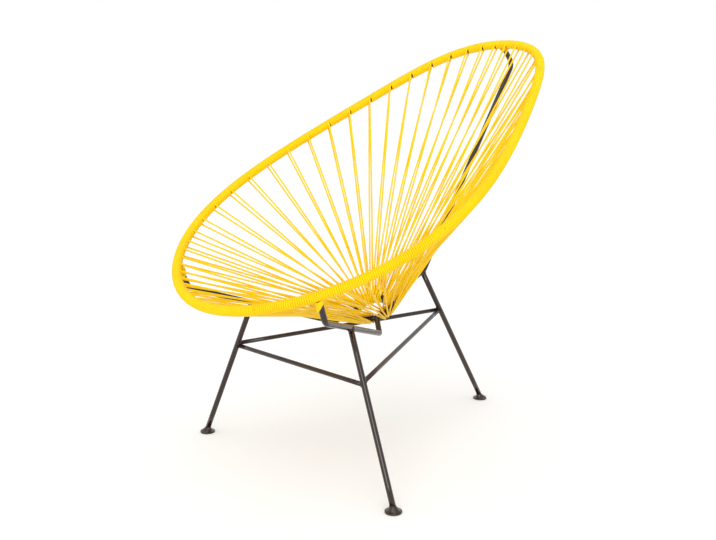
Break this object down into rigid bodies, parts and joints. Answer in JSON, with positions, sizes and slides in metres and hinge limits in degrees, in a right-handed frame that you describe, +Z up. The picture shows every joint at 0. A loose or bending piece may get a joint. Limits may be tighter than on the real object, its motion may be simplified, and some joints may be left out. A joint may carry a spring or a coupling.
{
  "type": "acapulco chair",
  "caption": "Patio lounge chair: an egg-shaped tilted rod rim strung with plastic cord to a small seat ring, carried by brackets, a rear spine and braced, splayed rod legs.",
  "frame": {"origin": "on the floor, under the middle of the chair's bounding box", "axes": "+Z up, -Y the way the sitter faces, +X the sitter's left; the plane x = 0 is the chair's mirror plane"},
  "size_m": [0.6998, 0.9476, 0.8993],
  "materials": {
    "frame_metal": "dark powder coat, half gloss",
    "cord_plastic": "smooth glossy yellow plastic cord"
  },
  "bodies": {
    "root": {"rim_hoop": "frame_metal", "seat_ring": "frame_metal", "left_front_bracket": "frame_metal", "right_front_bracket": "frame_metal", "rear_spine": "frame_metal", "left_front_leg": "frame_metal", "right_front_leg": "frame_metal", "rear_leg": "frame_metal", "front_brace": "frame_metal", "left_side_brace": "frame_metal", "right_side_brace": "frame_metal", "left_front_foot": "frame_metal", "right_front_foot": "frame_metal", "rear_foot": "frame_metal", "left_stub_wrap": "cord_plastic", "right_stub_wrap": "cord_plastic", "spine_stub_wrap": "cord_plastic", "left_seat_cord_1": "cord_plastic", "right_seat_cord_1": "cord_plastic", "left_seat_cord_2": "cord_plastic", "right_seat_cord_2": "cord_plastic", "left_seat_cord_3": "cord_plastic", "right_seat_cord_3": "cord_plastic", "left_seat_cord_4": "cord_plastic", "right_seat_cord_4": "cord_plastic", "left_seat_cord_5": "cord_plastic", "right_seat_cord_5": "cord_plastic", "left_seat_cord_6": "cord_plastic", "right_seat_cord_6": "cord_plastic", "left_seat_cord_7": "cord_plastic", "right_seat_cord_7": "cord_plastic", "left_seat_cord_8": "cord_plastic", "right_seat_cord_8": "cord_plastic", "left_seat_cord_9": "cord_plastic", "right_seat_cord_9": "cord_plastic"}
  },
  "joints": []
}
